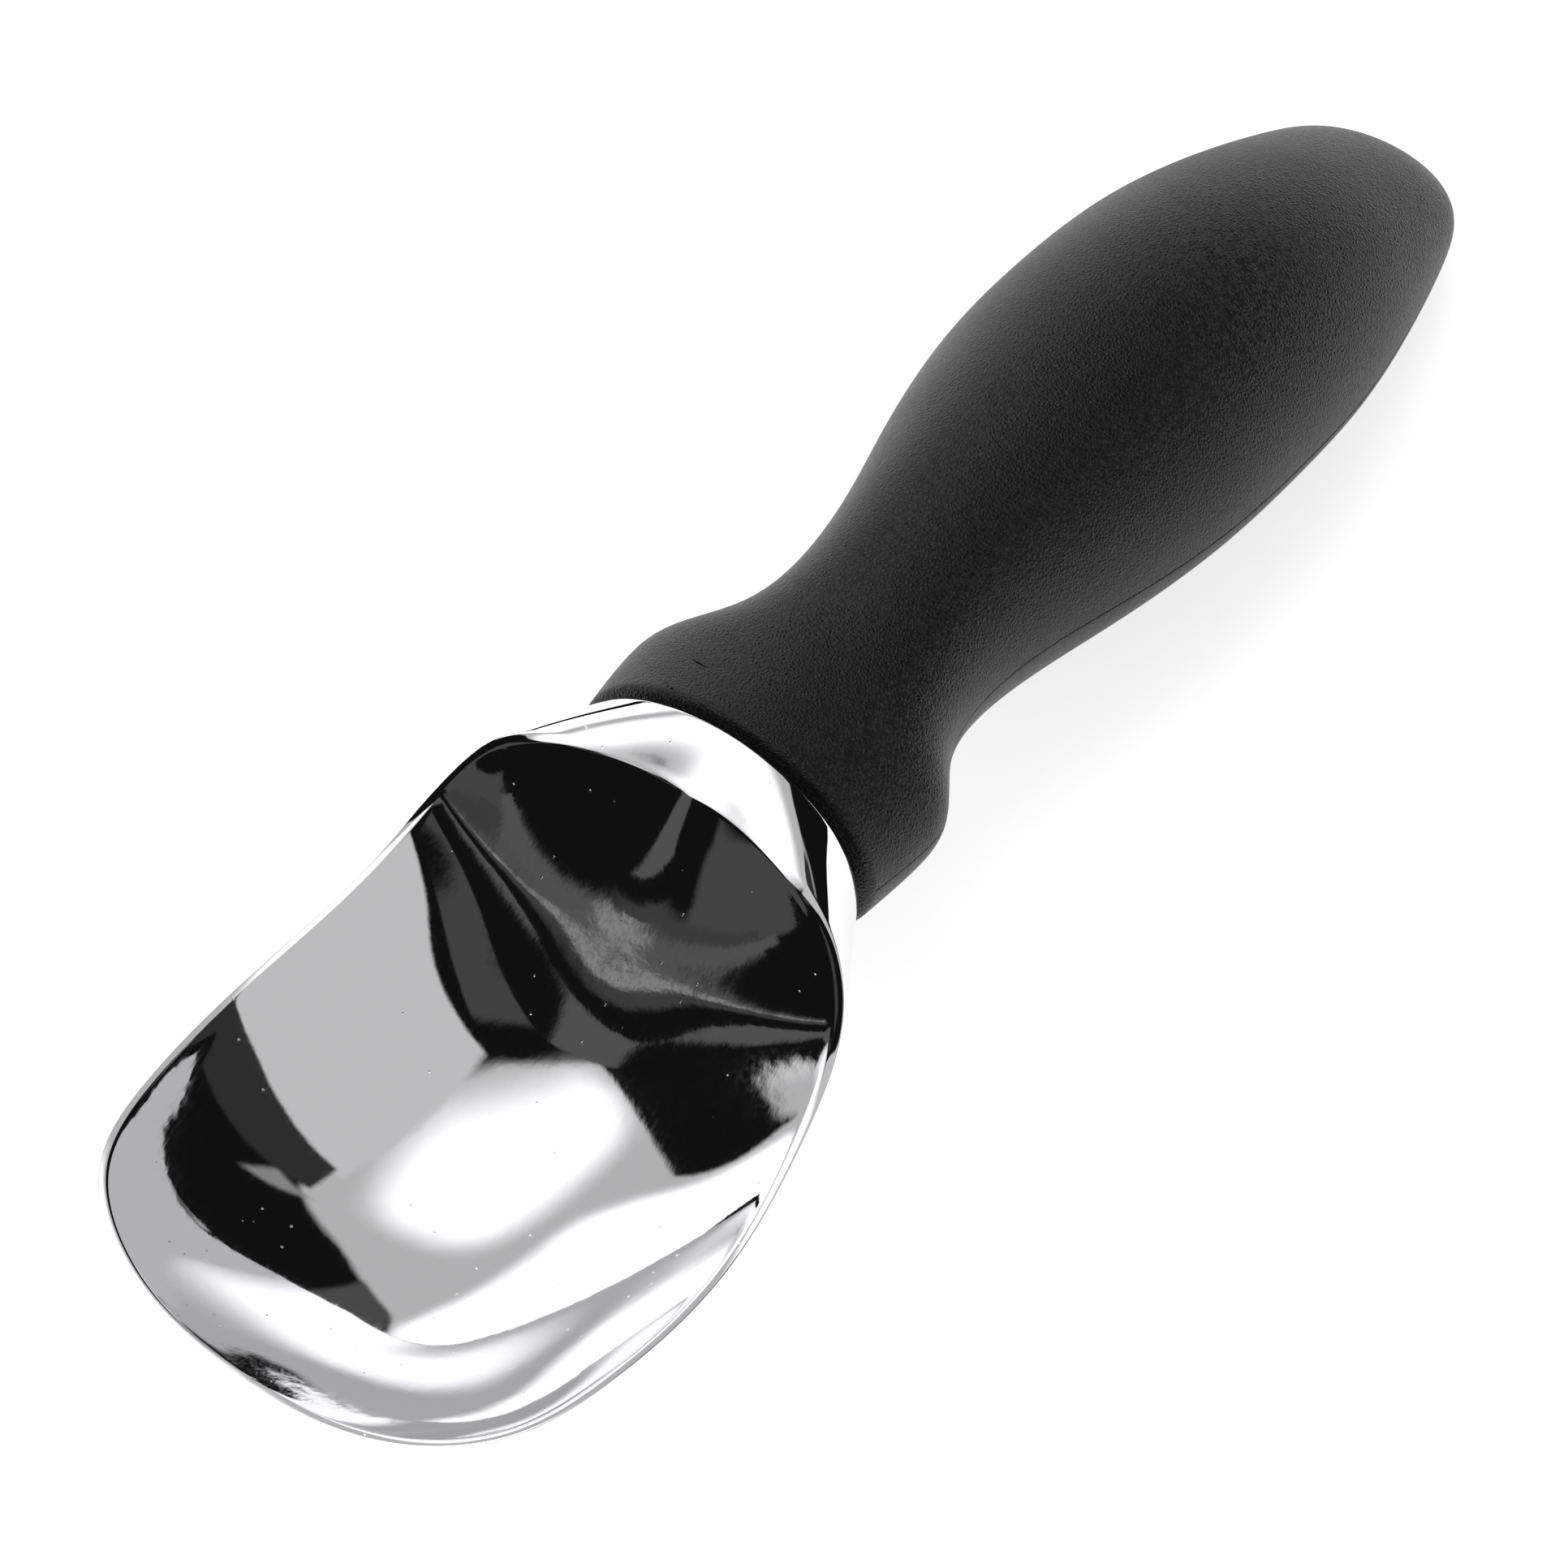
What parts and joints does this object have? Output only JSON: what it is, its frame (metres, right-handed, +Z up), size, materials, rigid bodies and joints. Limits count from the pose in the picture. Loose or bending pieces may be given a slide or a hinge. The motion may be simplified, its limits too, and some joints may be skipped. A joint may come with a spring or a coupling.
{
  "type": "ice cream scoop",
  "caption": "Spade-type ice cream scoop: a polished cast bowl with a hooded back on a tang, held in a soft overmoulded grip.",
  "frame": {"origin": "centre of the bounding box in X and Y, on the surface the scoop lies on", "axes": "+X from the bowl towards the butt of the handle, +Z up out of the bowl's mouth, +Y across the bowl; the scoop lies as it rests, on its belly and the underside of the handle"},
  "size_m": [0.1998, 0.058, 0.0368],
  "materials": {
    "chrome": "polished chrome plate on a casting",
    "seal_rubber": "matte black rubber",
    "core_plastic": "as moulded, dark grey",
    "steel": "cut and chamfered rod",
    "soft_black": "soft-touch black with a fine leather grain"
  },
  "bodies": {
    "root": {"scoop_head": "chrome", "joint_seal": "seal_rubber", "core_upper": "core_plastic", "core_lower": "core_plastic", "front_tang_pin": "steel", "rear_tang_pin": "steel", "soft_grip": "soft_black"}
  },
  "joints": []
}
